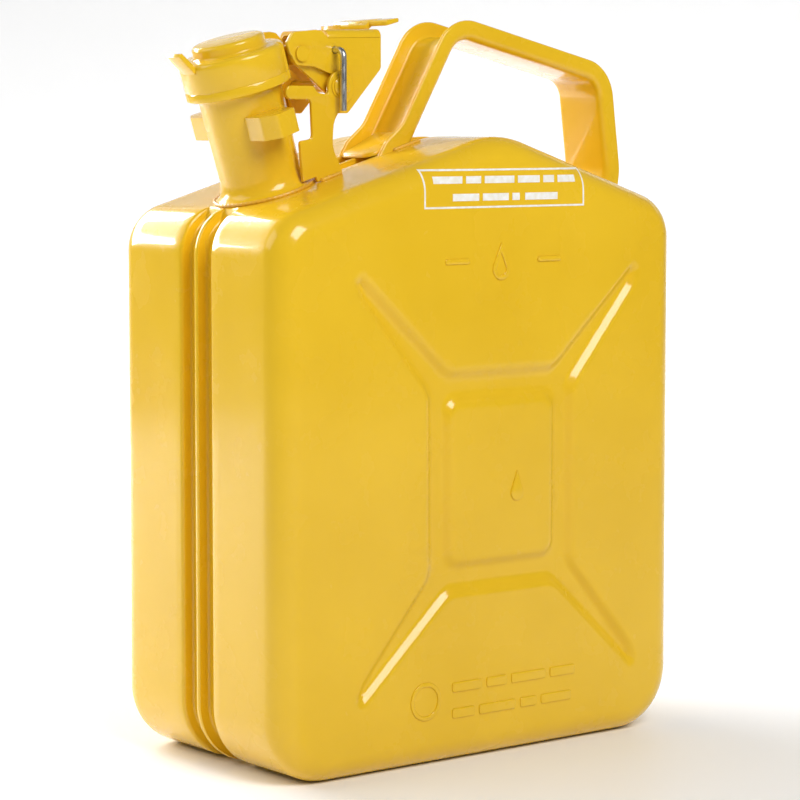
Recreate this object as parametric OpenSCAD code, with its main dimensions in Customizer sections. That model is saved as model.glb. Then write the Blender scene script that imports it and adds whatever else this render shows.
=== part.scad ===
// Five-litre steel fuel can: two pressed half-shells joined at a sunken centre seam,
// a channel-section carrying handle and a tilted neck with a cam-lever lid.
// Millimetres, +Z up, +X towards the handle. The can stands on Z = 0.

/* [Body] */
// Distance from the ridge's datum to the side under the neck
neck_side = 115; // [110:1:118]
// Distance from the ridge's datum to the side under the handle
grip_side = 100; // [96:1:104]
// Depth of the body, over both shells
body_d = 116; // [110:1:122]
// Height of the two top slopes' meeting line, before it is rounded
ridge_z = 262.5; // [258:0.5:266]
// Slope of the top on the neck's side
roof_angle = 16.5; // [16:0.5:18]
// Slope of the top on the handle's side
back_angle = 18.5; // [17:0.5:20]
// Radius of the bottom corners
foot_r = 27; // [24:1:34]
// Radius of the shoulders
shoulder_r = 20; // [18:1:24]
// Radius of the ridge
ridge_r = 45; // [40:1:60]
// Radius of the edge around each broad face
face_edge_r = 11; // [9:0.5:12]
// Thickness of the pressed sheet
sheet = 1; // [0.8:0.1:1.2]

/* [Seam] */
// Width of the groove between the shells
groove_w = 21; // [18:1:24]
// Depth of the groove
groove_depth = 5; // [4:0.5:6]

/* [Pressed cross] */
// Depth of the pressing
press_depth = 2.5; // [1.5:0.5:3]
// Width of the raised pad in the middle
pad_w = 57.4; // [50:0.2:62]
// Height of the raised pad in the middle
pad_h = 68.6; // [62:0.2:76]
// Width of the pressed channel beside the pad
press_side = 9.6; // [8:0.2:11]
// Width of the pressed channel above and below the pad
press_end = 10.7; // [8:0.1:12]
// Height of the pad's centre
pad_z = 117.5; // [114:0.5:124]
// Height that the small marks stand above the broad faces
mark_h = 0.6; // [0.4:0.1:0.8]

/* [Handle] */
// Width of the handle strap
strap_w = 29; // [26:1:30]
// Thickness of the handle's pressed sheet
strap_t = 1.8; // [1.5:0.1:2.2]

/* [Neck] */
// Bore of the neck at the mouth
mouth_bore_r = 15.3; // [14.8:0.1:15.6]
// Length of the neck from the roof to its lip
neck_len = 46.5; // [46:0.1:47]

/* [Hidden] */

paint = "#e8b52e";
zinc = "#c9cccb";
rubber = "#222222";

fit_gap = 0.05;             // clearance between pieces that are fixed to each other
body_x = 9.5;               // puts the middle of everything on X = 0
ridge_x = 4;                // the ridge stands a little behind the datum
half_d = body_d / 2;
half_groove = groove_w / 2;
steps = 7;                  // chords in each rounded corner

neck_x = -80.3;             // where the neck's axis meets the roof
neck_z = ridge_z + (neck_x - ridge_x) * tan(roof_angle);
neck_tube_r = 16.5;         // outside, where it passes through the roof
neck_top_r = 17.5;          // outside, under the lip
lid_r = 22;
lid_low = 44;               // height of the lid's open edge along the neck
lid_top = 60;
rim_cut_x = 12.7;           // the rim is cut away from here on, in front of the lever's cheeks
lid_boss_r = 15.2;
lid_boss_top = 65.2;
gasket_low = neck_len + fit_gap;
gasket_top = gasket_low + 4;

// Pivots, as X and Z in the body's own frame
hinge = [-55, 281];
pivot = [neck_x + 22.5 * cos(roof_angle) - 52.5 * sin(roof_angle),
         neck_z + 22.5 * sin(roof_angle) + 52.5 * cos(roof_angle)];
wire_eye = [-56.6, 296];
hinge_r = 2.5;
pivot_r = 1.8;
wire_r = 1.4;
run_gap = 0.05;             // radial running clearance of pins and rivets

yoke_in = 12.9;             // the plates stand side by side outwards from the middle
yoke_t = 2;
lever_in = 15.4;
lever_t = 1.8;
cheek_in = 17.6;
cheek_t = 1.8;
wire_leg_y = 23;

// ---------- outlines ----------

function unit(v) = v / norm(v);

// One corner of an outline, rounded to radius r
function corner(a, b, c, r) =
    r <= 0 ? [b] :
    let (u = unit(a - b), w = unit(c - b),
         half = acos(u * w) / 2,
         centre = b + unit(u + w) * r / sin(half),
         p = b + u * r / tan(half),
         q = b + w * r / tan(half),
         from = atan2(p.y - centre.y, p.x - centre.x),
         to = atan2(q.y - centre.y, q.x - centre.x),
         turn = (to - from + 540) % 360 - 180)
    [for (i = [0:steps]) centre + r * [cos(from + turn * i / steps), sin(from + turn * i / steps)]];

function rounded(pts, radii) =
    let (n = len(pts))
    [for (i = [0:n - 1]) each corner(pts[(i + n - 1) % n], pts[i], pts[(i + 1) % n], radii[i])];

// A side of a counter-clockwise outline, moved outwards by d
function moved_side(a, b, d) =
    let (out = [b.y - a.y, a.x - b.x] / norm(b - a)) [a + d * out, b + d * out];

function meet(p, q) =
    let (u = p[1] - p[0], v = q[1] - q[0]) p[0] + u * cross(q[0] - p[0], v) / cross(u, v);

function grown(pts, d) =
    let (n = len(pts))
    [for (i = [0:n - 1]) meet(moved_side(pts[(i + n - 1) % n], pts[i], d),
                              moved_side(pts[i], pts[(i + 1) % n], d))];

body_corners = [[-neck_side, 0], [grip_side, 0],
                [grip_side, ridge_z - (grip_side - ridge_x) * tan(back_angle)], [ridge_x, ridge_z],
                [-neck_side, ridge_z - (neck_side + ridge_x) * tan(roof_angle)]];

// The body's outline seen from the front, set in by d from the outer surface
function body_outline(d) =
    rounded(grown(body_corners, -d),
            [foot_r - d, foot_r - d, shoulder_r - d, ridge_r - d, shoulder_r - d]);

// ---------- placing ----------

module place() translate([body_x, 0, 0]) children();

// Draws a front-view outline as a plate from depth y0 to y0 + t
module plate(y0, t) translate([0, y0 + t, 0]) rotate([90, 0, 0]) linear_extrude(t) children();

// The same plate on both sides of the middle
module both_plates(y0, t) {
    plate(y0, t) children();
    plate(-y0 - t, t) children();
}

module on_neck() translate([neck_x, 0, neck_z]) rotate([0, -roof_angle, 0]) children();

// A round bar along Y through the point p, from y0 to y1
module cross_bar(p, r, y0, y1)
    translate([p.x, y1, p.y]) rotate([90, 0, 0]) cylinder(r = r, h = y1 - y0, $fn = 48);

// ---------- body ----------

// Each ring is [inset, distance from the middle]
function edge_rings(r, face_y) =
    [for (i = [0:5]) let (a = 90 * i / 5) [face_edge_r - r * sin(a), face_y - r + r * cos(a)]];

shell_rings = concat(
    edge_rings(face_edge_r, half_d),
    [[0, half_groove], [groove_depth, half_groove], [groove_depth, sheet + fit_gap],
     [0.8, sheet + fit_gap], [0.8, fit_gap], [groove_depth + sheet, fit_gap],
     [groove_depth + sheet, half_groove + sheet], [sheet, half_groove + sheet]],
    [for (i = [5:-1:0]) edge_rings(face_edge_r - sheet, half_d - sheet)[i]]);

module pan(side) {
    count = len(body_outline(0));
    last = len(shell_rings) - 1;
    points = [for (ring = shell_rings) for (p = body_outline(ring[0])) [p.x, side * ring[1], p.y]];
    sides = [for (k = [0:last - 1]) for (i = [0:count - 1])
                let (j = (i + 1) % count)
                each [[k * count + i, (k + 1) * count + i, k * count + j],
                      [k * count + j, (k + 1) * count + i, (k + 1) * count + j]]];
    caps = [[for (i = [0:count - 1]) i], [for (i = [count - 1:-1:0]) last * count + i]];
    faces = concat(sides, caps);
    turned = [for (f = faces) [for (i = [len(f) - 1:-1:0]) f[i]]];
    polyhedron(points, side < 0 ? turned : faces, convexity = 8);
}

// The pressed cross: a channel around the pad and a tapering arm from each of its corners
module cross_outline(g) offset(delta = g) translate([0, pad_z]) difference() {
    px = pad_w / 2;
    pz = pad_h / 2;
    union() {
        square([pad_w + 2 * press_side, pad_h + 2 * press_end], center = true);
        for (sx = [-1, 1]) for (sz = [-1, 1])
            polygon([[sx * px, sz * (pz + press_end)], [sx * 73.2, sz * 86], [sx * 75, sz * 84.5],
                     [sx * 72.6, sz * 78.6], [sx * (px + press_side), sz * 38],
                     [sx * (px - 1), sz * (pz - 1)]]);
    }
    square([pad_w, pad_h], center = true);
}

// Plain raised marks: a drop between two dashes, a drop on the pad, blank bars and a ring
module mark_outline() {
    for (x = [-31, 19]) translate([x, 208]) square([13, 2.2]);
    translate([-1, 206]) rotate(45) square(9, center = true);
    translate([8, 113]) rotate(45) square(9, center = true);
    for (z = [30, 19]) translate([-27, z]) square([70, 4.5]);
    translate([-41, 28]) difference() {
        circle(r = 8, $fn = 40);
        circle(r = 6, $fn = 40);
    }
}

module shell(side) color(paint) difference() {
    union() {
        pan(side);
        plate(side < 0 ? -half_d + sheet / 2 : half_d - press_depth - sheet, press_depth + sheet / 2)
            cross_outline(sheet);
        plate(side < 0 ? -half_d - mark_h : half_d - sheet / 2, mark_h + sheet / 2) mark_outline();
    }
    plate(side < 0 ? -half_d - 1 : half_d - press_depth, press_depth + 1) cross_outline(0);
    on_neck() translate([0, 0, -30]) cylinder(r = neck_tube_r + fit_gap, h = 40, $fn = 96);
}

module front_shell() shell(-1);

module back_shell() shell(1);

module seam_weld() color(paint) difference() {
    plate(-1.3, 2.6) difference() {
        polygon(body_outline(0.15));
        polygon(body_outline(0.8 - fit_gap));
    }
    on_neck() translate([0, 0, -30]) cylinder(r = neck_tube_r + fit_gap, h = 40, $fn = 96);
}

// ---------- handle ----------

handle_outside = rounded([[-29.5, 252], [80, 215], [97, 218], [101.4, 227], [106.2, 243.5], [97.7, 290.9],
                          [8.2, 312.1], [-21.6, 260.3]], [0, 0, 0, 3, 6, 15, 14, 8]);
handle_hole = [[-18.3, 249], [93, 215], [97.3, 245], [92.3, 284.1], [12.6, 302.8]];
hole_radii = [0, 0, 10, 8, 8];
foot_half = 11;             // half the width of the tongue at the front foot, which lies along the roof

module handle() color(paint) {
    both_plates(strap_w / 2 - strap_t, strap_t) difference() {
        polygon(handle_outside);
        polygon(rounded(handle_hole, hole_radii));
        polygon(body_outline(-0.1));
    }
    plate(-strap_w / 2 + strap_t / 2, strap_w - strap_t) difference() {
        intersection() {
            polygon(handle_outside);
            polygon(rounded(grown(handle_hole, strap_t), hole_radii));
        }
        polygon(rounded(handle_hole, hole_radii));
        polygon(body_outline(-0.1));
    }
    intersection() {
        plate(-foot_half, 2 * foot_half) difference() {
            polygon(body_outline(-0.1 - strap_t));
            polygon(body_outline(-0.1));
        }
        translate([0, 0, ridge_z - 30]) linear_extrude(40)
            polygon(rounded([[-34, -foot_half], [-15, -foot_half], [-15, foot_half], [-34, foot_half]],
                            [5, 0, 0, 5]));
    }
}

module foot_weld(x0, x1) color(paint) both_plates(strap_w / 2 + fit_gap, 1.4) intersection() {
    difference() {
        polygon(body_outline(-1.5));
        polygon(body_outline(-0.1));
    }
    translate([x0, 215]) square([x1 - x0, 60]);
}

module front_foot_weld() foot_weld(-27, -8);

module rear_foot_weld() foot_weld(88, 102);

// ---------- neck ----------

module neck() color(paint) on_neck() rotate_extrude($fn = 96) polygon([
    [mouth_bore_r - 0.4, -7], [neck_tube_r, -7], [neck_tube_r, 0.15], [20, 0.15], [20, 1.2], [18, 2.2],
    [16.7, 4.5], [neck_top_r, 41], [neck_top_r, 43.2], [18.6, 44], [18.9, 45.2], [18.4, neck_len - 0.2],
    [17.6, neck_len], [16, neck_len], [mouth_bore_r, 45.8], [mouth_bore_r, 24], [mouth_bore_r - 0.4, 23.6]]);

module neck_weld() color(paint) on_neck() rotate_extrude($fn = 96)
    polygon([[20 + fit_gap, 0.15], [21.5, 0.15], [21, 1], [20 + fit_gap, 1.5]]);

module vent_tube() color(paint) on_neck() translate([11.6, 0, -14]) difference() {
    cylinder(r = 3.2, h = 35, $fn = 40);
    translate([0, 0, -1]) cylinder(r = 2.5, h = 37, $fn = 40);
}

module neck_lug(side) color(paint) on_neck() difference() {
    translate([0, 0, 25]) linear_extrude(10)
        polygon([for (p = rounded([[-10.5, 14], [5, 14], [5, 29], [-6, 31], [-10.5, 25]], [0, 0, 1.5, 2, 2]))
                     [p.x, side * p.y]]);
    translate([0, 0, 4.5]) cylinder(r1 = 16.7 + fit_gap, r2 = neck_top_r + fit_gap, h = 36.5, $fn = 96);
}

module front_neck_lug() neck_lug(-1);

module back_neck_lug() neck_lug(1);

function roof_at(x) = ridge_z + (x - ridge_x) * tan(roof_angle);

cheek_corners = [[-74.5, roof_at(-74.5) + 2.6], [-68, roof_at(-68) + 2.6], [-67, roof_at(-67) + 0.15],
                 [-54, roof_at(-54) + 0.15], [-59.4, 256], [-58.6, 268], [-49, 281], [-61, 281],
                 [-62.5, 277.5], [-67, 278.5], [-69, 281.2], [-83, 281.2], [-83, 275.6], [-70.4, 275.6],
                 [-69.6, 259.5], [-76.2, 258.6]];
cheek_radii = [0, 0, 0, 1, 12, 10, 0, 0, 1.5, 1.5, 1.5, 2.5, 2.5, 2, 2, 1.5];

module hinge_cheek(y0) color(paint) difference() {
    union() {
        plate(y0, cheek_t) polygon(rounded(cheek_corners, cheek_radii));
        cross_bar(hinge, 6.5, y0, y0 + cheek_t);
    }
    cross_bar(hinge, hinge_r + run_gap, y0 - 1, y0 + cheek_t + 1);
}

module front_hinge_cheek() hinge_cheek(-cheek_in - cheek_t);

module back_hinge_cheek() hinge_cheek(cheek_in);

head_in = cheek_in + cheek_t + 0.65;

module hinge_pin() color(zinc) {
    cross_bar(hinge, hinge_r, -head_in, head_in);
    for (side = [0, 1]) mirror([0, side, 0])
        translate([hinge.x, head_in, hinge.y]) rotate([-90, 0, 0])
            rotate_extrude($fn = 48) polygon([[0, -0.2], [4, -0.2], [4, 0.3], [3, 0.8], [0, 0.9]]);
}

module hinge_washers() color(zinc) for (side = [0, 1]) mirror([0, side, 0]) difference() {
    cross_bar(hinge, 5, cheek_in + cheek_t + fit_gap, head_in - 0.2 - fit_gap);
    cross_bar(hinge, hinge_r + run_gap, cheek_in, head_in + 1);
}

// ---------- lid ----------

// The rim is cut away on each side of the yoke, so that the lever's cheeks can turn past it
module lid() color(paint) {
    on_neck() difference() {
        rotate_extrude($fn = 96) polygon([
            [lid_r - 1, lid_low], [lid_r, lid_low], [lid_r, 57.6], [21.3, 59.3], [19.6, lid_top],
            [lid_boss_r + 1, lid_top], [lid_boss_r, 61.2], [lid_boss_r, 63.4], [14.6, 64.7],
            [13.2, lid_boss_top], [0, lid_boss_top], [0, 63.9], [12.6, 63.9], [13.9, 62.8], [13.9, 58.7],
            [19.4, 58.7], [lid_r - 1, 57]]);
        for (side = [0, 1]) mirror([0, side, 0])
            translate([rim_cut_x, lever_in - 0.3, lid_low - 1]) cube([lid_r, lid_r, lid_top - lid_low + 2]);
    }
    on_neck() plate(-4.5, 9)
        polygon([[-19.9, 57.4], [-21.9, 56.4], [-27.4, 65.2], [-26.9, 66.4], [-25.6, 66.2]]);
}

module lid_yoke() color(paint) difference() {
    along = unit(hinge - pivot);
    across = [-along.y, along.x];
    union() {
        both_plates(yoke_in, yoke_t)
            polygon(rounded([pivot - 4 * along - 4 * across, hinge + 5.5 * along - 5 * across,
                             hinge + 5.5 * along + 5 * across, pivot - 4 * along + 4 * across],
                            [3.5, 4.5, 4.5, 3.5]));
        on_neck() translate([lid_r + 0.1, -yoke_in - yoke_t / 2, 48]) cube([2, 2 * yoke_in + yoke_t, 8]);
    }
    cross_bar(pivot, pivot_r + fit_gap, -20, 20);
    cross_bar(hinge, hinge_r + run_gap, -20, 20);
}

module lever_rivets() color(zinc) for (side = [0, 1]) mirror([0, side, 0]) {
    cross_bar(pivot, pivot_r, yoke_in, lever_in + lever_t + 0.1);
    cross_bar(pivot, 3.2, lever_in + lever_t + 0.1, lever_in + lever_t + 1);
}

module gasket() color(rubber) on_neck() rotate_extrude($fn = 96)
    polygon([[4.6, gasket_low], [19.6, gasket_low], [19.6, gasket_top], [4.6, gasket_top]]);

module gasket_backing_plate() color(zinc) on_neck() rotate_extrude($fn = 96)
    polygon([[2.6, gasket_top + fit_gap], [19.6, gasket_top + fit_gap], [19.6, gasket_top + 1.25],
             [7, gasket_top + 1.25], [7, 63.8], [2.6, 63.8]]);

module gasket_retainer() color(zinc) on_neck() rotate_extrude($fn = 96)
    polygon([[2.6, 45.5], [9.5, 45.5], [10, 46], [10, gasket_low - fit_gap], [2.6, gasket_low - fit_gap]]);

module retainer_stud() color(zinc) on_neck() rotate_extrude($fn = 64)
    polygon([[0, 43.9], [3, 43.9], [4.4, 44.7], [4.4, 45.45], [2.55, 45.45], [2.55, 63.7], [0, 63.7]]);

// ---------- cam lever ----------

cam_reach = norm(hinge - pivot);
cam_start = atan2(hinge.y - pivot.y, hinge.x - pivot.x);

// The path that the hinge pin takes through the lever's side as the lever lifts
cam_slot = concat(
    [for (i = [0:12]) pivot + (cam_reach - 3) * [cos(cam_start - 10 * i), sin(cam_start - 10 * i)]],
    [for (i = [12:-1:0]) pivot + (cam_reach + 3) * [cos(cam_start - 10 * i), sin(cam_start - 10 * i)]]);

lever_corners = [[-76.4, 289.4], [-67, 289], [-57.5, 285.6], [-55.2, 270], [-49.8, 270], [-32.4, 288.7],
                 [-32.4, 305.2], [-66, 304.2], [-78.2, 303], [-81, 298.5], [-79.4, 294]];
lever_radii = [2, 4, 1, 1.5, 2, 3, 1.2, 6, 4, 2, 3];

module cam_lever() color(paint) difference() {
    union() {
        both_plates(lever_in, lever_t) polygon(rounded(lever_corners, lever_radii));
        plate(-lever_in - 0.5, 2 * lever_in + 1)
            polygon([[-60, 302.5], [-32.6, 303.3], [-32.6, 305.15], [-60, 304.35]]);
    }
    for (y0 = [-20, 10]) plate(y0, 10) {
        polygon(cam_slot);
        translate(hinge) circle(r = 3, $fn = 48);
    }
    cross_bar(pivot, pivot_r + run_gap, -20, 20);
    cross_bar(wire_eye, wire_r + run_gap, -20, 20);
}

module thumb_tab() color(paint) {
    plate(-7, 14) polygon([[-46, 304.85], [-31, 305.3], [-29, 306.9], [-24, 308.2], [-24, 310],
                           [-30, 309], [-33, 307], [-46, 306.6]]);
    plate(-18.5, 37)
        polygon(rounded([[-31, 306.4], [-24, 308.2], [-24, 310], [-31, 308.6]], [0.5, 0.5, 0.8, 0.8]));
}

leg_drop = 25;
bend_r = 3.2;

module locking_wire() color(zinc) {
    straight_y = wire_leg_y - bend_r;
    cross_bar(wire_eye, wire_r, -straight_y, straight_y);
    for (side = [0, 1]) mirror([0, side, 0]) translate([wire_eye.x, 0, wire_eye.y]) {
        translate([0, straight_y, -bend_r]) rotate([0, -90, 0]) rotate([0, 0, 0])
            rotate_extrude(angle = 90, $fn = 48) translate([bend_r, 0]) circle(r = wire_r, $fn = 24);
        translate([0, wire_leg_y, -leg_drop]) cylinder(r = wire_r, h = leg_drop - bend_r, $fn = 24);
        translate([0, wire_leg_y, -leg_drop]) sphere(r = wire_r, $fn = 24);
    }
}

place() front_shell();
place() back_shell();
place() seam_weld();
place() handle();
place() front_foot_weld();
place() rear_foot_weld();
place() neck();
place() neck_weld();
place() vent_tube();
place() front_neck_lug();
place() back_neck_lug();
place() front_hinge_cheek();
place() back_hinge_cheek();
place() hinge_pin();
place() hinge_washers();
place() lid();
place() lid_yoke();
place() lever_rivets();
place() gasket();
place() gasket_backing_plate();
place() gasket_retainer();
place() retainer_stud();
place() cam_lever();
place() thumb_tab();
place() locking_wire();
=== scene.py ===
"""Looks of the steel fuel can: smooth pressed shells, rolled edges, weld beads, paint, zinc and rubber.

Outlines are in millimetres from the datum that the CAD source uses, which stands NECK_SIDE inside the
body's side, and are moved into the row frame when a mesh is made.
"""

import math

import bmesh
import bpy
import numpy as np
from mathutils import Matrix, Vector


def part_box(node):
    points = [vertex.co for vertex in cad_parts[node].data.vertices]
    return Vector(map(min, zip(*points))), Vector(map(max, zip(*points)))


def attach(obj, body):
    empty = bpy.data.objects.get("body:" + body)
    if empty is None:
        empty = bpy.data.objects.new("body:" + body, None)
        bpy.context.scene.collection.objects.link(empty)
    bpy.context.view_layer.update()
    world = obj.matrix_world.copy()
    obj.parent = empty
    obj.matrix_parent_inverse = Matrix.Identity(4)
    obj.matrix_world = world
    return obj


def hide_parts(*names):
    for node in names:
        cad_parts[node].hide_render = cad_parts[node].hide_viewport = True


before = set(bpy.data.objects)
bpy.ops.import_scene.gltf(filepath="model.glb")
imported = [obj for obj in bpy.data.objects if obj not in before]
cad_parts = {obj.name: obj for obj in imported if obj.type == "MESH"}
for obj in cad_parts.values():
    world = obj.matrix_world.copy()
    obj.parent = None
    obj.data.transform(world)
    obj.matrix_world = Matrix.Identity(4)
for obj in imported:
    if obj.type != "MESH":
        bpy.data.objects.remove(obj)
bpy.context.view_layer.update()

MM = 0.001

# ---------- sizes, in millimetres ----------

NECK_SIDE, GRIP_SIDE = 115, 100
HALF_DEPTH = 58
RIDGE = (4, 262.5)
ROOF_ANGLE, BACK_ANGLE = math.radians(16.5), math.radians(18.5)
FOOT_R, SHOULDER_R, RIDGE_R, FACE_EDGE_R = 27, 20, 45, 11
SHEET = 1
HALF_GROOVE, GROOVE_DEPTH = 10.5, 5
LIP_R, ROOT_R, FILLET_R = 1.6, 1.2, 1.4  # the groove's lip, its floor's corner and the flange's foot
FLANGE_TIP, FLANGE_HALF, FLANGE_FOOT = 0.8, 1.1, 2.5  # how far in its tip stands, and its half widths
SEAM_GAP = 0.05  # from each shell's flange to the seam's middle
GROOVE_END, GROOVE_FADE = 20, 6  # where the groove stops beside the neck's axis, and over what length

PAD_HALF = (28.7, 34.3)
CHANNEL_HALF = (38.3, 45)
PAD_Z = 117.5
PRESS_DEPTH, PRESS_WALL = 2.5, 4.6  # how deep the cross is, and how wide its sloping wall
RINGS_X = -5  # where the broad face's rings close in. The cross itself is centred on the datum
MARK_HEIGHT = 0.55

NECK_X = -80.3
NECK_Z = RIDGE[1] + (NECK_X - RIDGE[0]) * math.tan(ROOF_ANGLE)
TUBE_R, BORE_R, MOUTH_R, NECK_FOOT_R = 16.5, 15.3, 18.8, 21
NECK_LEN = 46.5
LID_R, LID_LOW, LID_TOP = 22, 44, 60
BOSS_R, BOSS_TOP = 15.2, 65.2
RIM_CUT_X = 12.7  # the lid's rim is cut away past this, to clear the lever's cheeks

HINGE = (-55, 281)
WIRE_EYE = (-56.6, 296)
CROWN_START, CROWN_R = -60, 3.4  # where the lever's bent top begins, and its bend
YOKE_IN, YOKE_T = 12.9, 2
LEVER_IN, LEVER_T = 15.4, 1.8
CHEEK_IN, CHEEK_T = 17.6, 1.8
WIRE_R, WIRE_LEG_Y, WIRE_DROP, WIRE_BEND = 1.4, 23, 25, 3.2

STRAP_HALF, STRAP_T, STRAP_BEND, FLANGE_H = 14.5, 1.8, 3.2, 8.6
FOOT_RISE, FOOT_RUN = 4.5, 16  # how much taller the flanges are at the front foot, and over what length
TAIL_DROP, TAIL_RUN = 1.5, 12  # and how much lower at the rear foot
BEAD_R = 0.9

AROUND = 16  # chords in each rounded corner of the body's outline
STRAIGHT = 1.9  # about the length of each chord on the outline's straight runs


def roof_at(x):
    """Height of the roof's slope on the neck's side of the ridge."""
    return RIDGE[1] + (x - RIDGE[0]) * math.tan(ROOF_ANGLE)


def neck_point(x, y, z):
    """A point given along the neck's own axes."""
    c, s = math.cos(ROOF_ANGLE), math.sin(ROOF_ANGLE)
    return (NECK_X + x * c - z * s, y, NECK_Z + x * s + z * c)


PIVOT = neck_point(22.5, 0, 52.5)[::2]  # the rivets that the lever turns on
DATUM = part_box("front_shell")[0][0] / MM + NECK_SIDE


# ---------- materials ----------


class Nodes:
    """A material's node tree, built a node at a time."""

    def __init__(self, name, **settings):
        self.material = bpy.data.materials.new(name)
        self.material.use_nodes = True
        self.tree = self.material.node_tree
        self.shader = self.tree.nodes["Principled BSDF"]
        for key, value in settings.items():
            self.shader.inputs[key.replace("_", " ")].default_value = value
        self.place = self.add("ShaderNodeTexCoord").outputs["Object"]

    def add(self, kind, links=None, **values):
        node = self.tree.nodes.new(kind)
        for key, value in values.items():
            name = key.replace("_", " ")
            if name in node.inputs:
                node.inputs[name].default_value = value
            else:
                setattr(node, key, value)
        for name, source in (links or {}).items():
            self.tree.links.new(source, node.inputs[name])
        return node

    def noise(self, scale, detail, stretch=None):
        place = self.place
        if stretch:
            place = self.add("ShaderNodeMapping", {"Vector": place}, Scale=stretch).outputs[0]
        return self.add("ShaderNodeTexNoise", {"Vector": place}, Scale=scale, Detail=detail).outputs[0]

    def ramp(self, source, low, high, start=0.35, end=0.65):
        """source mapped from start..end onto low..high, as a value or a colour."""
        node = self.add("ShaderNodeValToRGB", {"Fac": source})
        for element, at, value in zip(node.color_ramp.elements, (start, end), (low, high)):
            element.position = at
            element.color = (*value, 1) if isinstance(value, tuple) else (value, value, value, 1)
        return node.outputs[0]

    def set(self, name, source):
        self.tree.links.new(source, self.shader.inputs[name])

    def bumps(self, *layers):
        """Bump layers of (source, strength, distance in metres)."""
        normal = None
        for source, strength, distance in layers:
            links = {"Height": source}
            if normal:
                links["Normal"] = normal
            normal = self.add("ShaderNodeBump", links, Strength=strength, Distance=distance).outputs[0]
        self.set("Normal", normal)


def paint_material():
    """Glossy baked enamel: orange peel, a soft sheet wave and slightly duller patches."""
    m = Nodes("yellow_enamel", Coat_Weight=0.6, Coat_Roughness=0.05, Specular_IOR_Level=0.2)
    m.set("Base Color", m.ramp(m.noise(14, 3), (0.80, 0.49, 0.012), (0.85, 0.53, 0.018)))
    m.set("Roughness", m.ramp(m.noise(60, 4), 0.20, 0.30))
    m.bumps((m.noise(900, 1), 0.05, 0.0002), (m.noise(55, 1), 0.10, 0.0006))
    return m.material


def weld_material():
    """The same enamel over the ripples of a weld bead."""
    m = Nodes("enamel_over_weld", Coat_Weight=0.5, Coat_Roughness=0.15)
    m.set("Base Color", m.ramp(m.noise(120, 3), (0.72, 0.38, 0.022), (0.84, 0.48, 0.035)))
    m.set("Roughness", m.ramp(m.noise(300, 3), 0.28, 0.42))
    m.bumps((m.noise(700, 3), 0.35, 0.0004))
    return m.material


def zinc_material():
    """Bright zinc with fine drawn streaks and a cloudy bloom."""
    m = Nodes("bright_zinc", Metallic=1.0)
    m.set("Base Color", m.ramp(m.noise(90, 4), (0.56, 0.57, 0.58), (0.80, 0.80, 0.78)))
    m.set("Roughness", m.ramp(m.noise(240, 3, stretch=(6, 1, 1)), 0.20, 0.36))
    m.bumps((m.noise(1500, 2, stretch=(6, 1, 1)), 0.12, 0.0001))
    return m.material


def rubber_material():
    m = Nodes("gasket_rubber")
    m.set("Base Color", m.ramp(m.noise(200, 4), (0.012, 0.012, 0.013), (0.03, 0.03, 0.03)))
    m.set("Roughness", m.ramp(m.noise(500, 3), 0.55, 0.8))
    m.bumps((m.noise(1600, 3), 0.3, 0.0002))
    return m.material


def print_material():
    """Screen-printed white ink, a little thin in places."""
    m = Nodes("white_print", Coat_Weight=0.2)
    m.set("Base Color", m.ramp(m.noise(400, 4), (0.86, 0.82, 0.70), (0.95, 0.94, 0.91)))
    m.set("Roughness", m.ramp(m.noise(800, 2), 0.35, 0.5))
    return m.material


def floor_material():
    m = Nodes("studio_floor", Specular_IOR_Level=0.3)
    m.set("Base Color", m.ramp(m.noise(3, 2), (0.97, 0.97, 0.97), (0.98, 0.98, 0.98)))
    m.set("Roughness", m.ramp(m.noise(9, 2), 0.45, 0.55))
    return m.material


PAINT, WELD, ZINC = paint_material(), weld_material(), zinc_material()
RUBBER, PRINT = rubber_material(), print_material()

# ---------- making pieces ----------


def add_piece(name, mesh, material, body, stands_for=(), smooth_to=38):
    """Adds a finished mesh in row-frame metres as a piece on a body."""
    mesh.name = name
    mesh.materials.clear()
    mesh.materials.append(material)
    mesh.shade_smooth()
    mesh.set_sharp_from_angle(angle=math.radians(smooth_to))
    piece = bpy.data.objects.new(name, mesh)
    bpy.context.scene.collection.objects.link(piece)
    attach(piece, body)
    if stands_for:
        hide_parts(*stands_for)
    return piece


def cleaned(mesh):
    """Joins doubled points and turns every face outwards."""
    bm = bmesh.new()
    bm.from_mesh(mesh)
    bmesh.ops.remove_doubles(bm, verts=bm.verts, dist=0.002 * MM)
    bmesh.ops.dissolve_degenerate(bm, edges=bm.edges, dist=0.001 * MM)
    bmesh.ops.recalc_face_normals(bm, faces=bm.faces)
    bm.to_mesh(mesh)
    bm.free()
    return mesh


def to_mesh(points, faces):
    """A mesh from millimetre points in the datum's frame."""
    mesh = bpy.data.meshes.new("made")
    mesh.from_pydata([((x + DATUM) * MM, y * MM, z * MM) for x, y, z in points], [], faces)
    return cleaned(mesh)


def evaluated(obj):
    """The object's final mesh. The object itself is removed."""
    graph = bpy.context.evaluated_depsgraph_get()
    mesh = bpy.data.meshes.new_from_object(obj.evaluated_get(graph))
    mesh.transform(obj.matrix_world)
    bpy.data.objects.remove(obj)
    return mesh


def joined(*meshes):
    bm = bmesh.new()
    for mesh in meshes:
        bm.from_mesh(mesh)
    out = bpy.data.meshes.new("joined")
    bm.to_mesh(out)
    bm.free()
    return out


def ring_faces(rings, count):
    """Quads between closed rings of count points each."""
    return [
        (k * count + i, k * count + (i + 1) % count, (k + 1) * count + (i + 1) % count, (k + 1) * count + i)
        for k in range(rings - 1)
        for i in range(count)
    ]


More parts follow.
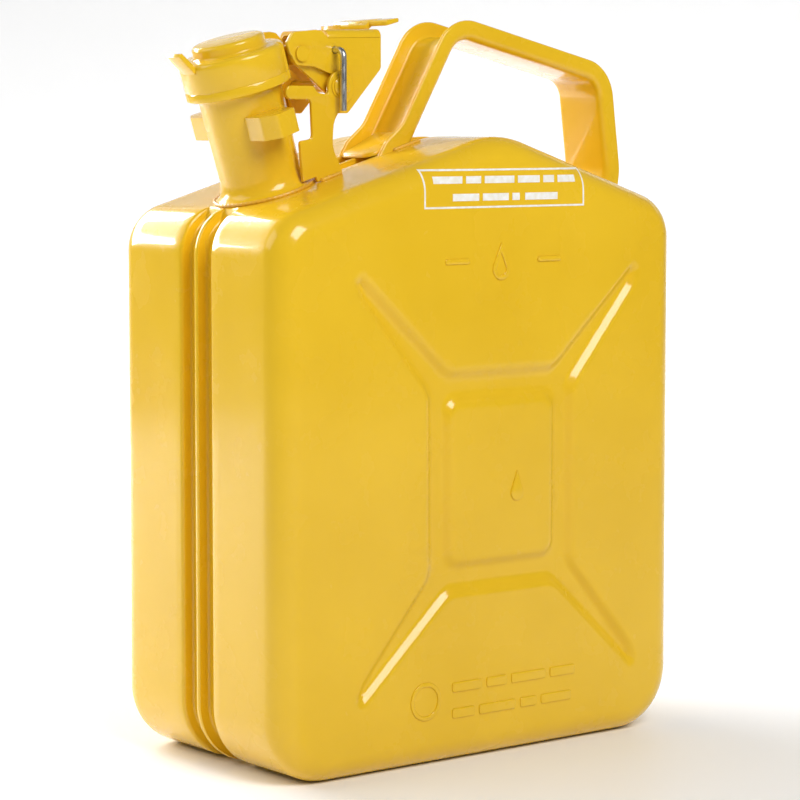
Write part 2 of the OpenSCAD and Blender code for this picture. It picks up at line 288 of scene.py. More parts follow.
def loop_faces(sections, count):
    """Quads round a closed loop of closed sections, with count points in each."""
    faces = []
    for i in range(sections):
        a, b = i * count, (i + 1) % sections * count
        faces += [(a + k, a + (k + 1) % count, b + (k + 1) % count, b + k) for k in range(count)]
    return faces


# ---------- outlines ----------


def corner_arc(a, b, c, r, steps):
    """The corner b between a and c, rounded to radius r."""
    a, b, c = (np.array(p, float) for p in (a, b, c))
    if r <= 0:
        return [tuple(b)]
    u, w = (a - b) / np.linalg.norm(a - b), (c - b) / np.linalg.norm(c - b)
    half = math.acos(np.clip(u @ w, -1, 1)) / 2
    mid = (u + w) / np.linalg.norm(u + w)
    centre = b + mid * r / math.sin(half)
    p, q = b + u * r / math.tan(half), b + w * r / math.tan(half)
    start, end = (math.atan2(*(v - centre)[::-1]) for v in (p, q))
    turn = (end - start + math.pi) % (2 * math.pi) - math.pi
    angles = np.linspace(start, start + turn, steps + 1)
    return [tuple(centre + r * np.array([math.cos(t), math.sin(t)])) for t in angles]


def rounded(points, radii, steps=8):
    """A closed outline with each corner rounded to its own radius."""
    n = len(points)
    out = []
    for i in range(n):
        out += corner_arc(points[i - 1], points[i], points[(i + 1) % n], radii[i], steps)
    return out


def inset(points, d):
    """A counter-clockwise polygon with each side moved inwards by d."""
    sides = []
    n = len(points)
    for i in range(n):
        a, b = np.array(points[i], float), np.array(points[(i + 1) % n], float)
        way = (b - a) / np.linalg.norm(b - a)
        sides.append((a + d * np.array([-way[1], way[0]]), way))
    out = []
    for i in range(n):
        (p, u), (q, v) = sides[i - 1], sides[i]
        t = ((q - p)[0] * v[1] - (q - p)[1] * v[0]) / (u[0] * v[1] - u[1] * v[0])
        out.append(tuple(p + u * t))
    return out


BODY_CORNERS = [
    (-NECK_SIDE, 0),
    (GRIP_SIDE, 0),
    (GRIP_SIDE, RIDGE[1] - (GRIP_SIDE - RIDGE[0]) * math.tan(BACK_ANGLE)),
    RIDGE,
    (-NECK_SIDE, RIDGE[1] - (NECK_SIDE + RIDGE[0]) * math.tan(ROOF_ANGLE)),
]
BODY_RADII = [FOOT_R, FOOT_R, SHOULDER_R, RIDGE_R, SHOULDER_R]


def body_outline(d):
    """The body's front-view outline, set in by d, with the same number of points for every d."""
    coarse = rounded(BODY_CORNERS, BODY_RADII, AROUND)
    here = rounded(inset(BODY_CORNERS, d), [r - d for r in BODY_RADII], AROUND)
    out = []
    for i, p in enumerate(here):
        q = here[(i + 1) % len(here)]
        length = math.dist(coarse[i], coarse[(i + 1) % len(coarse)])
        pieces = max(1, round(length / STRAIGHT)) if (i + 1) % (AROUND + 1) == 0 else 1
        out += [tuple(np.array(p) + (np.array(q) - p) * k / pieces) for k in range(pieces)]
    return np.array(out)


def arc_points(cx, cy, r, start, end, steps):
    """Points round a centre, between two angles in degrees."""
    angles = [math.radians(t) for t in np.linspace(start, end, steps + 1)]
    return [(cx + r * math.cos(t), cy + r * math.sin(t)) for t in angles]


# ---------- the pressed cross ----------


def smooth_step(t):
    """0 to 1 with level ends, as t goes from 0 to 1."""
    t = np.clip(t, 0, 1)
    return t * t * (3 - 2 * t)


def polygon_distance(x, z, points):
    """Signed distance to a polygon, negative inside."""
    best = np.full(x.shape, 1e9)
    sign = np.ones(x.shape)
    n = len(points)
    for i in range(n):
        (ax, az), (bx, bz) = points[i], points[i - 1]
        ex, ez, wx, wz = bx - ax, bz - az, x - ax, z - az
        t = np.clip((wx * ex + wz * ez) / (ex * ex + ez * ez), 0, 1)
        best = np.minimum(best, (wx - ex * t) ** 2 + (wz - ez * t) ** 2)
        above, below, left = z >= az, z < bz, ex * wz > ez * wx
        flip = (above & below & left) | (~above & ~below & ~left)
        sign = np.where(flip, -sign, sign)
    return sign * np.sqrt(best)


def box_distance(x, z, half, r):
    """Signed distance to a rounded box round the middle, negative inside."""
    dx, dz = np.abs(x) - half[0] + r, np.abs(z) - half[1] + r
    return np.hypot(np.maximum(dx, 0), np.maximum(dz, 0)) + np.minimum(np.maximum(dx, dz), 0) - r


def soft_min(a, b, k):
    """The smaller of two distances, blended over a width k where they meet."""
    h = np.clip(0.5 + 0.5 * (b - a) / k, 0, 1)
    return b + (a - b) * h - k * h * (1 - h)


def press(x, z):
    """How far the broad face is pressed in at each point, 0 to PRESS_DEPTH."""
    z = z - PAD_Z
    arm = [
        (PAD_HALF[0], CHANNEL_HALF[1]),
        (73.2, 86),
        (75, 84.5),
        (72.6, 78.6),
        (CHANNEL_HALF[0], 38),
        (PAD_HALF[0] - 1, PAD_HALF[1] - 1),
    ]
    channel = soft_min(box_distance(x, z, CHANNEL_HALF, 5), polygon_distance(np.abs(x), np.abs(z), arm), 3)
    channel = -soft_min(-channel, box_distance(x, z, PAD_HALF, 6), 1.5)
    return PRESS_DEPTH * smooth_step(0.5 - channel / PRESS_WALL)


# ---------- body ----------


def shell_profile():
    """(inset, distance from the seam plane) from the broad face's edge round to the seam's flange."""
    mid = HALF_GROOVE + LIP_R
    face = arc_points(FACE_EDGE_R, HALF_DEPTH - FACE_EDGE_R, FACE_EDGE_R, 90, 180, 12)
    side = [(0, y) for y in np.linspace(HALF_DEPTH - FACE_EDGE_R, mid, 9)[1:]]
    lip = arc_points(LIP_R, mid, LIP_R, 180, 270, 5)[1:]
    root = arc_points(GROOVE_DEPTH - ROOT_R, HALF_GROOVE - ROOT_R, ROOT_R, 90, 0, 4)
    fillet = arc_points(GROOVE_DEPTH - FILLET_R, FLANGE_FOOT, FILLET_R, 0, -90, 4)
    return face + side + lip + root + fillet + [(FLANGE_TIP, FLANGE_HALF), (FLANGE_TIP, SEAM_GAP)]


def inner_profile():
    """The hidden inside of the sheet, from the flange back to the broad face."""
    deep = GROOVE_DEPTH + SHEET
    return [
        (deep, SEAM_GAP),
        (deep, HALF_GROOVE + SHEET),
        (SHEET, HALF_GROOVE + SHEET + LIP_R),
        (SHEET, HALF_DEPTH - FACE_EDGE_R),
        (4, HALF_DEPTH - 5.5),
        (FACE_EDGE_R, HALF_DEPTH - PRESS_DEPTH - SHEET),
    ]


def groove_fill(x, z):
    """1 where the groove keeps its depth, falling to 0 under the neck's base."""
    on_roof = z > PAD_Z
    return np.where(on_roof, smooth_step((np.abs(x - NECK_X) - GROOVE_END) / GROOVE_FADE), 1)


def shell_mesh(side):
    """One half-shell: its profile swept round the outline, then the pressed broad face and the inside."""
    rings = []
    full = groove_fill(*body_outline(0).T)
    for d, y in shell_profile():
        outline = body_outline(d)
        if y < HALF_GROOVE + LIP_R and d > 0:
            outline = body_outline(0) + (outline - body_outline(0)) * full[:, None]
        rings.append(np.column_stack([outline[:, 0], np.full(len(outline), side * y), outline[:, 1]]))
    for d, y in inner_profile():
        outline = body_outline(d)
        rings.append(np.column_stack([outline[:, 0], np.full(len(outline), side * y), outline[:, 1]]))
    count = len(rings[0])
    points = [tuple(p) for ring in rings for p in ring]
    faces = ring_faces(len(rings), count)

    dent = 0.1  # how far the broad face dips and waves, as thin sheet does
    edge = body_outline(FACE_EDGE_R)
    centre = np.array([RINGS_X, PAD_Z])
    levels = np.linspace(1, 0, 84)[1:-1]
    base = len(points)
    for t in levels:
        ring = centre + (edge - centre) * t
        depth = press(ring[:, 0], ring[:, 1])
        wave = dent * np.sin(ring[:, 0] / 17) * np.cos(ring[:, 1] / 23) * (1 - t**6)
        y = side * (HALF_DEPTH - depth - dent * (1 - t**6) + wave)
        points += [tuple(p) for p in np.column_stack([ring[:, 0], y, ring[:, 1]])]
    starts = [0] + [base + k * count for k in range(len(levels))]
    for a, b in zip(starts, starts[1:]):
        faces += [(a + i, b + i, b + (i + 1) % count, a + (i + 1) % count) for i in range(count)]
    points.append((centre[0], side * HALF_DEPTH, centre[1]))
    tip = len(points) - 1
    faces += [(starts[-1] + i, tip, starts[-1] + (i + 1) % count) for i in range(count)]
    inside = (len(rings) - 1) * count
    faces.append(tuple(inside + i for i in range(count)))
    return to_mesh(points, faces)


def cut_away(mesh, tool):
    """The mesh with another mesh taken out of it."""
    body, cutter = bpy.data.objects.new("body", mesh), bpy.data.objects.new("cutter", tool)
    for o in (body, cutter):
        bpy.context.scene.collection.objects.link(o)
    cut = body.modifiers.new("cut", "BOOLEAN")
    cut.operation, cut.object, cut.solver = "DIFFERENCE", cutter, "EXACT"
    bpy.context.view_layer.update()
    out = evaluated(body)
    bpy.data.objects.remove(cutter)
    return out


def bored(mesh):
    """The shell with the neck's hole through its roof."""
    hole = [(0, -25), (TUBE_R + 0.05, -25), (TUBE_R + 0.05, 12), (0, 12)]
    return cut_away(mesh, to_mesh(*revolved(hole, 64)))


def block_mesh(low, high):
    """A block between two corners given along the neck's own axes."""
    xs, ys, zs = zip(low, high)
    corners = [neck_point(x, y, z) for x in xs for y in ys for z in zs]
    faces = [(0, 1, 3, 2), (4, 6, 7, 5), (0, 4, 5, 1), (2, 3, 7, 6), (0, 2, 6, 4), (1, 5, 7, 3)]
    return to_mesh(corners, faces)


def revolved(profile, segments):
    """Points and faces of a closed profile of (radius, height), turned about the neck's axis."""
    points = []
    for i in range(segments):
        t = 2 * math.pi * i / segments
        points += [neck_point(r * math.cos(t), r * math.sin(t), z) for r, z in profile]
    return points, loop_faces(segments, len(profile))


def bead_mesh(path, radius, ripple=0.12, pitch=2.2, sides=10):
    """A weld bead along a list of points: a round bar whose thickness ripples."""
    path = np.array(path, float)
    steps = np.linalg.norm(np.diff(path, axis=0), axis=1)
    along = np.concatenate([[0], np.cumsum(steps)])
    count = max(8, int(along[-1] / (pitch / 4)))
    s = np.linspace(0, along[-1], count)
    line = np.column_stack([np.interp(s, along, path[:, k]) for k in range(3)])
    way = np.gradient(line, axis=0)
    way /= np.linalg.norm(way, axis=1)[:, None]
    shape = np.minimum(1, np.sin(np.pi * np.clip(s / along[-1], 0, 1)) * 6 + 0.25)
    angles = np.linspace(0, 2 * math.pi, sides + 1)[:-1]
    points = []
    for k in range(count):
        u = np.cross(way[k], (0.3, 1, 0.2))
        u /= np.linalg.norm(u)
        v = np.cross(way[k], u)
        r = radius * shape[k] * (1 + ripple * math.sin(2 * math.pi * s[k] / pitch))
        points += [tuple(line[k] + r * (math.cos(t) * u + math.sin(t) * v)) for t in angles]
    faces = ring_faces(count, sides)
    faces += [tuple(range(sides)), tuple((count - 1) * sides + i for i in range(sides))]
    return to_mesh(points, faces)


def seam_mesh():
    """The welded tip of the seam's flange: a low rounded bead all round, sunk out of sight at the neck."""
    outline = body_outline(0)
    keep = groove_fill(*outline.T)
    normal = body_outline(0) - body_outline(1)
    half = [(-FLANGE_TIP, 1.25), (-0.45, 1.3), (-0.2, 0.8)]
    section = half + [(-0.12, 0)] + [(d, -y) for d, y in reversed(half)]
    points = []
    for i, (p, n) in enumerate(zip(outline, normal)):
        low = -0.25 * (1 - keep[i])
        points += [(p[0] + n[0] * (d + low), y, p[1] + n[1] * (d + low)) for d, y in section]
    return to_mesh(points, loop_faces(len(outline), len(section)))


def make_body():
    add_piece("shell_front", bored(shell_mesh(-1)), PAINT, "can", ["front_shell"])
    add_piece("shell_back", bored(shell_mesh(1)), PAINT, "can", ["back_shell"])
    add_piece("seam_flange_weld", seam_mesh(), PAINT, "can", ["seam_weld"])


# ---------- plates ----------


def plate_mesh(outline, y0, y1, bevel=0.45, holes=(), tilt=False):
    """A front-view outline as a plate from y0 to y1 with rolled edges.

    With tilt, the outline is given along the neck's own axes.
    """
    curve = bpy.data.curves.new("plate", "CURVE")
    curve.dimensions, curve.fill_mode = "2D", "BOTH"
    curve.extrude = (y1 - y0) / 2 - bevel
    curve.bevel_depth, curve.bevel_resolution, curve.offset = bevel, 2, -bevel
    for loop in (outline, *holes):
        spline = curve.splines.new("POLY")
        spline.points.add(len(loop) - 1)
        for point, (x, z) in zip(spline.points, loop):
            point.co = (x, z, 0, 1)
        spline.use_cyclic_u = True
    obj = bpy.data.objects.new("plate", curve)
    bpy.context.scene.collection.objects.link(obj)
    bpy.context.view_layer.update()
    mesh = evaluated(obj)
    for v in mesh.vertices:
        x, z, depth = v.co
        y = (y0 + y1) / 2 - depth
        x, y, z = neck_point(x, y, z) if tilt else (x, y, z)
        v.co = ((x + DATUM) * MM, y * MM, z * MM)
    return cleaned(mesh)


def pair(outline, inner, thickness, **options):
    """The same plate on both sides of the middle."""
    return joined(
        plate_mesh(outline, inner, inner + thickness, **options),
        plate_mesh(outline, -inner - thickness, -inner, **options),
    )


def circle(centre, r, steps=32):
    return arc_points(*centre, r, 0, 360 * (1 - 1 / steps), steps - 1)


# ---------- handle ----------


def handle_path():
    """The strap's smooth inner line, foot to foot, with rounded bends."""
    corners = [(-18.3, 249), (12.6, 302.8), (92.3, 284.1), (97.3, 245), (94.5, 226)]
    radii = [0, 10, 10, 14, 0]
    path = [corners[0]]
    for a, b, c, r in zip(corners, corners[1:], corners[2:], radii[1:]):
        path += corner_arc(a, b, c, r, 12)
    return path + [corners[-1]]


def handle_mesh():
    """A channel that opens outwards: a web on the inner line and a flange along each edge."""
    path = np.array(handle_path())
    steps = np.linalg.norm(np.diff(path, axis=0), axis=1)
    along = np.concatenate([[0], np.cumsum(steps)])
    total = along[-1]
    s = np.unique(np.concatenate([along, np.arange(0, total, 3.0)]))
    line = np.column_stack([np.interp(s, along, path[:, k]) for k in (0, 1)])
    way = np.gradient(line, s, axis=0)
    way /= np.linalg.norm(way, axis=1)[:, None]
    out = np.column_stack([-way[:, 1], way[:, 0]])
    height = FLANGE_H + FOOT_RISE * smooth_step((FOOT_RUN - s) / FOOT_RUN)
    height = height - TAIL_DROP * smooth_step((s - total + TAIL_RUN) / TAIL_RUN)
    bend, t, w = STRAP_BEND, STRAP_T, STRAP_HALF
    sunk = 0.6  # how far the front foot's edge reaches into the roof
    climb = way[0][1] - way[0][0] * math.tan(ROOF_ANGLE)  # gain in height over the roof along the strap
    points = []
    for k in range(len(s)):
        h = height[k]
        outer = arc_points(w - bend, bend, bend, -90, 0, 6)
        edge = arc_points(w - t / 2, h - t / 2, t / 2, 0, 180, 6)
        inner = arc_points(w - bend, bend, bend - t, 0, -90, 5)
        half = outer + edge + inner
        section = half + [(-y, d) for y, d in reversed(half)]
        for y, d in section:
            place = line[k] + out[k] * d
            if k == 0:
                place = place - way[0] * max(0, (place[1] - roof_at(place[0]) + sunk) / climb)
            points.append((place[0], -y, place[1]))
    count = len(section)
    faces = ring_faces(len(s), count)
    for e in (0, (len(s) - 1) * count):
        faces += [(e + i, e + i + 1, e + count - 2 - i, e + count - 1 - i) for i in range(count // 2 - 1)]
    return to_mesh(points, faces)


def tongue_mesh():
    """The front foot: the web turned forwards to lie on the roof, thinning to a rounded toe."""
    outline = rounded([(-34, -11), (-13.5, -11), (-13.5, 11), (-34, 11)], [5, 0, 0, 5], 8)
    centre = np.array([-20, 0])
    points = []
    for lift, shrink in ((0.12, 0), (0.9, 0), (1.5, 0.15), (1.8, 0.45), (1.9, 1.0)):
        for x, y in outline:
            way = np.array([x, y]) - centre
            x1, y1 = centre + way * (1 - shrink / np.linalg.norm(way))
            bend = 3.0 * smooth_step((x1 + 20) / 6) ** 2
            points.append((x1, y1, roof_at(x1) + lift + (bend if lift > 1.4 else 0)))
    n = len(outline)
    return to_mesh(points, ring_faces(5, n) + [tuple(range(n)), tuple(4 * n + i for i in range(n))])


def make_handle():
    add_piece("carrying_handle", joined(handle_mesh(), tongue_mesh()), PAINT, "can", ["handle"])


# ---------- neck, lid and seal ----------


def neck_profile():
    return [
        (BORE_R - 0.4, -7), (TUBE_R, -7), (TUBE_R, 0.2), (21.1, 0.2), (21.1, 0.9), (19.4, 1.7), (18.2, 3),
        (17.4, 5), (16.9, 8), (17.5, 41), (17.6, 43), (18.1, 43.7), (18.7, 44.2), (MOUTH_R, 45), (18.5, 46),
        (17.9, NECK_LEN), (16.2, NECK_LEN), (15.6, 46.2), (BORE_R, 45.5), (BORE_R, 24), (BORE_R - 0.4, 23.6),
    ]


def lid_profile():
    shoulder = arc_points(LID_R - 2.4, LID_TOP - 2.4, 2.4, 0, 90, 6)
    boss = arc_points(BOSS_R - 1.8, BOSS_TOP - 1.8, 1.8, 0, 90, 5)
    foot = arc_points(BOSS_R + 1.3, LID_TOP + 1.3, 1.3, 270, 180, 4)
    inside = [(0, 63.9), (12.6, 63.9), (13.9, 62.8), (13.9, 58.7), (19.4, 58.7), (LID_R - 1, 57)]
    rim = [(LID_R - 1, LID_LOW + 0.3), (LID_R - 0.5, LID_LOW), (LID_R, LID_LOW + 0.3)]
    groove = [(LID_R, 47.2), (LID_R - 0.35, 47.8), (LID_R, 48.4)]
    return rim + groove + shoulder + foot + boss + [(0, BOSS_TOP)] + inside


def make_neck():
    add_piece("neck_tube", to_mesh(*revolved(neck_profile(), 128)), PAINT, "can", ["neck"])
    angles = np.linspace(0.05, 2 * math.pi - 0.05, 90)
    ring = [neck_point(NECK_FOOT_R * math.cos(t), NECK_FOOT_R * math.sin(t), 0.6) for t in angles]
    add_piece("neck_base_weld", bead_mesh(ring, 0.85), WELD, "can", ["neck_weld"])
    lug = rounded([(-10.5, 14), (5, 14), (5, 29), (-6, 31), (-10.5, 25)], [0, 0, 2, 2.5, 2.5], 5)
    for name, side in (("front", -1), ("back", 1)):
        add_piece(f"neck_lug_{name}", lug_mesh(lug, side), PAINT, "can", [f"{name}_neck_lug"])


def lug_mesh(outline, side):
    """A block welded to the neck's side, rounded towards its edges. The outline is across the neck."""
    points = []
    low, high, edge, layers = 25, 35, 1.4, 13
    centre = np.mean(outline, axis=0)
    for t in np.linspace(0, math.pi, layers):
        z = (low + high) / 2 - math.cos(t) * (high - low) / 2
        bulge = min(1, math.sin(t) * 3)
        shrink = edge * (1 - math.sqrt(max(0, 1 - (1 - bulge) ** 2)))
        for p in outline:
            way = np.array(p) - centre
            far = np.linalg.norm(way)
            q = centre + way * (far - shrink) / far
            points.append(neck_point(q[0], side * q[1], z))
    n = len(outline)
    faces = ring_faces(layers, n) + [tuple(range(n)), tuple((layers - 1) * n + i for i in range(n))]
    return to_mesh(points, faces)


def make_lid():
    cap = to_mesh(*revolved(lid_profile(), 128))
    tab = [(-20.4, 58.4), (-21.9, 56.4), (-24.6, 60.4), (-27.4, 65.2), (-26.9, 66.4), (-25.6, 66.2)]
    tab = plate_mesh(tab, -4.5, 4.5, 0.4, tilt=True)
    cuts = []
    for side in (-1, 1):
        low = (RIM_CUT_X, side * (LEVER_IN - 0.3), LID_LOW - 1)
        cuts.append(block_mesh(low, (LID_R, side * LID_R, LID_TOP + 1)))
    cap = cut_away(cap, joined(*cuts))
    add_piece("lid_cap", joined(cap, tab), PAINT, "lid", ["lid"])
    along = np.array([HINGE[0] - PIVOT[0], HINGE[1] - PIVOT[1]])
    along /= np.linalg.norm(along)
    across = np.array([-along[1], along[0]])
    pivot, hinge = np.array(PIVOT), np.array(HINGE)
    ears = rounded(
        [pivot - 4 * along - 4 * across, hinge + 5.5 * along - 5 * across,
         hinge + 5.5 * along + 5 * across, pivot - 4 * along + 4 * across],
        [3.5, 4.5, 4.5, 3.5],
    )
    holes = [circle(PIVOT, 1.9), circle(HINGE, 2.6)]
    web = [(22.1, 48), (24.1, 48), (24.1, 56), (22.1, 56)]
    web = plate_mesh(web, -YOKE_IN - 1, YOKE_IN + 1, 0.4, tilt=True)
    yoke = joined(pair(ears, YOKE_IN, YOKE_T, holes=holes), web)
    add_piece("lid_yoke_ears", yoke, PAINT, "lid", ["lid_yoke"])


# ---------- hinge, lever and wire ----------


def make_hinge():
    cheek = rounded(
        [(-74.5, roof_at(-74.5) + 2.6), (-68, roof_at(-68) + 2.6), (-67, roof_at(-67) + 0.2),
         (-54, roof_at(-54) + 0.2), (-59.4, 256), (-58.6, 268), (-48.5, 277), (-48.5, 287.5), (-61.5, 287.5),
         (-61.5, 277.5), (-67, 278.5), (-69, 281.2), (-83, 281.2), (-83, 275.6), (-70.4, 275.6),
         (-69.6, 259.5), (-76.2, 258.6)],
        [0, 0, 0, 1, 12, 10, 4, 6.4, 6.4, 1.5, 1.5, 1.5, 2.5, 2.5, 2, 2, 1.5], 6,
    )
    hole = [circle(HINGE, 2.56)]
    for name, y in (("front", -CHEEK_IN - CHEEK_T), ("back", CHEEK_IN)):
        mesh = plate_mesh(cheek, y, y + CHEEK_T, 0.45, hole)
        add_piece(f"hinge_cheek_{name}", mesh, PAINT, "can", [f"{name}_hinge_cheek"])
    beads = []
    for side in (-1, 1):
        y = side * (CHEEK_IN + CHEEK_T + 0.3)
        beads.append(bead_mesh([(x, y, roof_at(x) + 0.5) for x in np.linspace(-66, -55, 12)], BEAD_R))
    add_piece("hinge_foot_welds", joined(*beads), WELD, "can")


def lever_outline():
    """The lever's side, with the hook that closes round the hinge pin. The crown covers its top edge."""
    hook = arc_points(*HINGE, 3.1, 130, -115, 16)
    tail = rounded(
        [(-56.2, 277), (-55.2, 270), (-49.8, 270), (-32.4, 288.7), (-32.4, crown_at(-32.4) - CROWN_R),
         (CROWN_START, crown_at(CROWN_START) - CROWN_R), (CROWN_START - 3, crown_at(CROWN_START) - 0.6),
         (-66, 304.2), (-78.2, 303), (-81, 298.5), (-79.4, 294)],
        [0, 1.5, 2, 3, 0, 0, 2, 6, 4, 2, 3], 5,
    )
    return [(-76.4, 289.9), (-75.5, 289.4), (-67, 289), (-58, 286)] + hook + tail


def crown_at(x):
    """Height of the lever's bent top."""
    return 305.15 + (x + 32.6) * 0.0292


def crown_mesh():
    """The lever's top, bent over from cheek to cheek with a generous radius."""
    y, t = LEVER_IN + LEVER_T, LEVER_T
    outer = arc_points(y - CROWN_R, -CROWN_R, CROWN_R, 0, 90, 8)
    inner = arc_points(y - CROWN_R, -CROWN_R, CROWN_R - t, 90, 0, 6)
    section = outer + [(-a, b) for a, b in reversed(outer)] + [(-a, b) for a, b in reversed(inner)] + inner
    points = []
    for x, drop in ((CROWN_START, 0.5), (CROWN_START + 0.5, 0), (-33, 0), (-32.45, 0.5)):
        middle = np.array([0, -CROWN_R / 2])
        for p in section:
            q = np.array(p) + (middle - p) / np.linalg.norm(middle - p) * drop * 0.4
            points.append((x, q[0], crown_at(x) + q[1]))
    n = len(section)
    faces = ring_faces(4, n)
    for base in (0, 3 * n):
        outside = list(range(base, base + 2 * len(outer)))
        inside = list(range(base + n - 1, outside[-1], -1))
        step = (len(outside) - 1) / (len(inside) - 1)
        for k in range(len(inside) - 1):
            first, last = outside[round(k * step)], outside[round((k + 1) * step)]
            faces.append((inside[k], *range(first, last + 1), inside[k + 1]))
    return to_mesh(points, faces)


def make_lever():
    holes = [circle(PIVOT, 1.86), circle(WIRE_EYE, 1.46)]
    sides = pair(lever_outline(), LEVER_IN, LEVER_T, holes=holes)
    add_piece("cam_lever_channel", joined(sides, crown_mesh()), PAINT, "lever", ["cam_lever"])
    underside = [(-46, 304.85), (-31, 305.3), (-29, 306.9), (-24, 308.2)]
    stem = underside + [(-24, 310), (-30, 309), (-33, 307), (-46, 306.6)]
    stem = plate_mesh(stem, -7, 7, 0.45)
    bar = rounded([(-31, 306.4), (-24, 308.2), (-24, 310), (-31, 308.6)], [0.4, 0.4, 0.6, 0.6], 3)
    bar = plate_mesh(bar, -18.5, 18.5, 0.5)
    add_piece("lever_thumb_tab", joined(stem, bar), PAINT, "lever", ["thumb_tab"])


def wire_mesh():
    x, z = WIRE_EYE
    reach = WIRE_LEG_Y - WIRE_BEND
    bend = [(x, y, z) for y, z in arc_points(reach, z - WIRE_BEND, WIRE_BEND, 90, 0, 8)]
    leg = [(x, 0, z)] + bend + [(x, WIRE_LEG_Y, z - WIRE_DROP)]
    path = [(px, -py, pz) for px, py, pz in reversed(leg[1:])] + leg
    curve = bpy.data.curves.new("wire", "CURVE")
    curve.dimensions = "3D"
    curve.bevel_depth, curve.bevel_resolution = WIRE_R * MM, 5
    curve.use_fill_caps = True
    spline = curve.splines.new("POLY")
    spline.points.add(len(path) - 1)
    for point, (px, py, pz) in zip(spline.points, path):
        point.co = ((px + DATUM) * MM, py * MM, pz * MM, 1)
    obj = bpy.data.objects.new("wire", curve)
    bpy.context.scene.collection.objects.link(obj)
    bpy.context.view_layer.update()
    return cleaned(evaluated(obj))


# ---------- marks, label and small detail ----------


def face_y(x, z):
    """Depth of the front face at a point, counting its rounded edge."""
    away = -polygon_distance(np.array([x]), np.array([z]), BODY_CORNERS)[0]
    dip = FACE_EDGE_R - away
    return -HALF_DEPTH + (FACE_EDGE_R - math.sqrt(FACE_EDGE_R**2 - dip**2) if dip > 0 else 0)


def printed_strip(x0, z0, x1, z1):
    """A thin strip of ink that follows the face."""
    nx, nz = max(1, round((x1 - x0) / 2)), max(1, round(z1 - z0))
    points, faces = [], []
    for lift in (0.02, 0.07):
        for j in range(nz + 1):
            for i in range(nx + 1):
                x, z = x0 + (x1 - x0) * i / nx, z0 + (z1 - z0) * j / nz
                points.append((x, face_y(x, z) - lift, z))
    row, sheet = nx + 1, (nx + 1) * (nz + 1)
    for base in (0, sheet):
        for j in range(nz):
            starts = [base + j * row + i for i in range(nx)]
            faces += [(a, a + 1, a + row + 1, a + row) for a in starts]
    rim = list(range(row)) + [j * row + nx for j in range(1, nz + 1)]
    rim += [nz * row + i for i in range(nx - 1, -1, -1)] + [j * row for j in range(nz - 1, 0, -1)]
    faces += [(rim[k - 1], rim[k], sheet + rim[k], sheet + rim[k - 1]) for k in range(len(rim))]
    return to_mesh(points, faces)


def make_label():
    """A thin white frame with two rows of plain bars."""
    x0, x1, z0, z1, line = -42, 45, 231, 247.2, 0.8
    strips = [(x0, z0, x1, z0 + line), (x0, z1 - line, x1, z1)]
    strips += [(x, z0 + line, x + line, z1 - line) for x in (x0, x1 - line)]
    for z, bars in (
        (241.2, [(-37, -22), (-20, -12), (-10, 6), (8, 20), (22, 28), (30, 40)]),
        (234, [(-27, -13), (-11, 3), (5, 9), (12, 30)]),
    ):
        strips += [(a, z, b, z + 3) for a, b in bars]
    add_piece("label_print", joined(*[printed_strip(*s) for s in strips]), PRINT, "can")


def marks():
    """Plain outlines for both broad faces: dashes, drops, bars and a ring."""

    def bar(x0, z0, x1, z1):
        return rounded([(x0, z0), (x1, z0), (x1, z1), (x0, z1)], [1] * 4, 3)

    def drop(x, z, r, tip):
        return [(x, z + tip)] + arc_points(x, z, r, 150, 390, 20)

    loops = [(bar(-31, 208, -18, 210.2), []), (bar(19, 208, 32, 210.2), [])]
    loops += [(drop(-1, 205.5, 4.6, 11), [drop(-1, 205.5, 2.7, 6.6)]), (drop(8, 111, 3.4, 9.6), [])]
    for z, widths in ((30, (16, 11, 19, 14)), (19, (12, 20, 9, 17))):
        x = -27
        for w in widths:
            loops.append((bar(x, z, x + w, z + 4.2), []))
            x += w + 2.6
    loops.append((circle((-41, 28), 8, 40), [circle((-41, 28), 6.2, 40)]))
    return loops


def make_marks():
    for name, sign in (("front", -1), ("back", 1)):
        face = HALF_DEPTH + MARK_HEIGHT
        low, high = sorted((sign * face, sign * (face - 1.3)))
        mesh = joined(*[plate_mesh(outline, low, high, 0.4, holes) for outline, holes in marks()])
        add_piece(f"pressed_marks_{name}", mesh, PAINT, "can")


def make_foot_welds():
    for name, x0, x1 in (("front_foot_weld", -26, -9), ("rear_foot_weld", 89, 101)):
        beads = []
        outline = [p for p in body_outline(-0.35) if p[1] > 190 and x0 <= p[0] <= x1]
        for side in (-1, 1):
            beads.append(bead_mesh([(x, side * (STRAP_HALF + 0.35), z) for x, z in outline], BEAD_R))
        add_piece(f"handle_{name}", joined(*beads), WELD, "can", [name])


# ---------- everything ----------

make_body()
make_handle()
make_neck()
make_lid()
make_hinge()
make_lever()
add_piece("locking_wire_clip", wire_mesh(), ZINC, "wire", ["locking_wire"])
make_label()
make_marks()
make_foot_welds()

PAINTED_OVER = ("vent_tube", "hinge_pin", "hinge_washers", "lever_rivets")
for node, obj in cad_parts.items():
    material = RUBBER if node == "gasket" else PAINT if node in PAINTED_OVER else ZINC
    for place in obj.material_slots:
        place.link = "OBJECT"
        place.material = material

# ---------- studio ----------

CAMERA_TURN, CAMERA_TILT = math.radians(38.15), math.radians(4.69)
CAMERA_PLACE = (-750.4, -943.9, 265.9)  # millimetres from the datum
MIDDLE = (0, 0, 0.14)  # where the softboxes aim, in metres in the row frame


def from_camera(across, up, back):
    """A direction or place given the way the camera is turned: right, up and away, in metres."""
    return Matrix.Rotation(-CAMERA_TURN, 3, "Z") @ Vector((across, back, up))


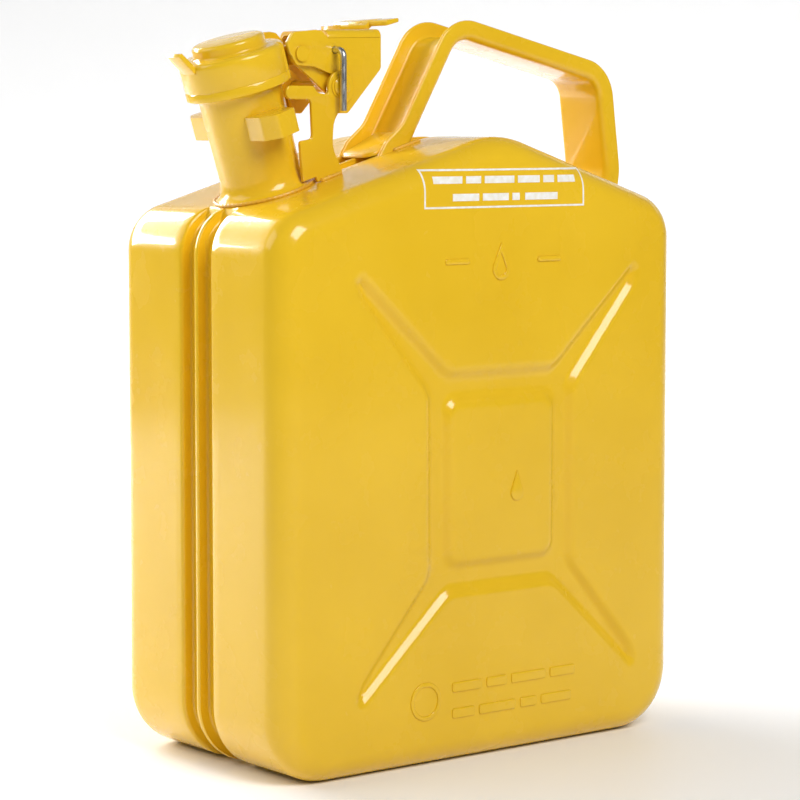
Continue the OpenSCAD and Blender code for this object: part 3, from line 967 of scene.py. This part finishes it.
def area_light(name, place, size, power, aim=MIDDLE, along=(1, 0, 0)):
    """A softbox that faces aim, with its long side along a direction."""
    data = bpy.data.lights.new(name, "AREA")
    data.shape, data.size, data.size_y, data.energy = "RECTANGLE", size[0], size[1], power
    light = bpy.data.objects.new(name, data)
    bpy.context.scene.collection.objects.link(light)
    back = (Vector(place) - Vector(aim)).normalized()
    side = Vector(along) - back * back.dot(Vector(along))
    side.normalize()
    axes = Matrix((side, back.cross(side), back)).transposed()
    light.matrix_world = Matrix.Translation(place) @ axes.to_4x4()


def make_floor():
    """A pale floor that curves up into a wall behind the can. Sizes are in metres."""
    front, cove, wall_top, half = -4, 1.4, 5, 6
    angles = np.linspace(0.1, math.pi / 2, 12)
    curve = [(cove + math.sin(t), 1 - math.cos(t)) for t in angles]
    line = [(front, 0), (cove, 0)] + curve + [(cove + 1, wall_top)]
    n = len(line)
    mesh = bpy.data.meshes.new("studio_floor")
    points = [(side, y, z) for side in (-half, half) for y, z in line]
    mesh.from_pydata(points, [], [(k, k + 1, n + k + 1, n + k) for k in range(n - 1)])
    mesh.materials.append(floor_material())
    mesh.shade_smooth()
    floor = bpy.data.objects.new("studio_floor", mesh)
    bpy.context.scene.collection.objects.link(floor)
    floor.rotation_euler.z = -CAMERA_TURN


def make_studio():
    """The floor, a dim white world, three softboxes and a light on the foot of the wall behind."""
    make_floor()
    world = bpy.data.worlds.new("studio")
    bpy.context.scene.world = world
    bpy.context.scene.view_settings.view_transform = "Standard"
    world.use_nodes = True
    background = world.node_tree.nodes["Background"].inputs
    background["Color"].default_value = (1, 1, 1, 1)
    background["Strength"].default_value = 0.14
    for name, way, distance, size, radiance, along in (
        ("key_softbox", (0.42, 0.66, -0.63), 1.6, (0.85, 0.66), 10, (-0.46, 0.36, 0)),
        ("rear_left_strip", (-0.74, 0.42, 0.52), 1.3, (1.05, 0.26), 24, (0.66, 0.55, 0.51)),
        ("left_fill", (-0.8, 0.55, -0.2), 1.5, (0.8, 0.8), 2.2, (0, 0, 1)),
    ):
        place = Vector(MIDDLE) + from_camera(*way).normalized() * distance
        area_light(name, place, size, radiance * math.pi * size[0] * size[1], along=from_camera(*along))
    place = from_camera(0, 0.8, 1.1)
    area_light("backdrop_light", place, (3.2, 0.5), 20, place + from_camera(0, -2.2, 1), from_camera(1, 0, 0))


def make_camera():
    """The photograph's view, tilted a little so that it needs hardly any lens shift."""
    data = bpy.data.cameras.new("camera")
    data.lens, data.sensor_width, data.shift_y = 125.5, 36, -0.06
    camera = bpy.data.objects.new("camera", data)
    bpy.context.scene.collection.objects.link(camera)
    x, y, z = CAMERA_PLACE
    camera.location = ((x + DATUM) * MM, y * MM, z * MM)
    camera.rotation_euler = (math.pi / 2 - CAMERA_TILT, 0, -CAMERA_TURN)
    bpy.context.scene.camera = camera


make_studio()
make_camera()
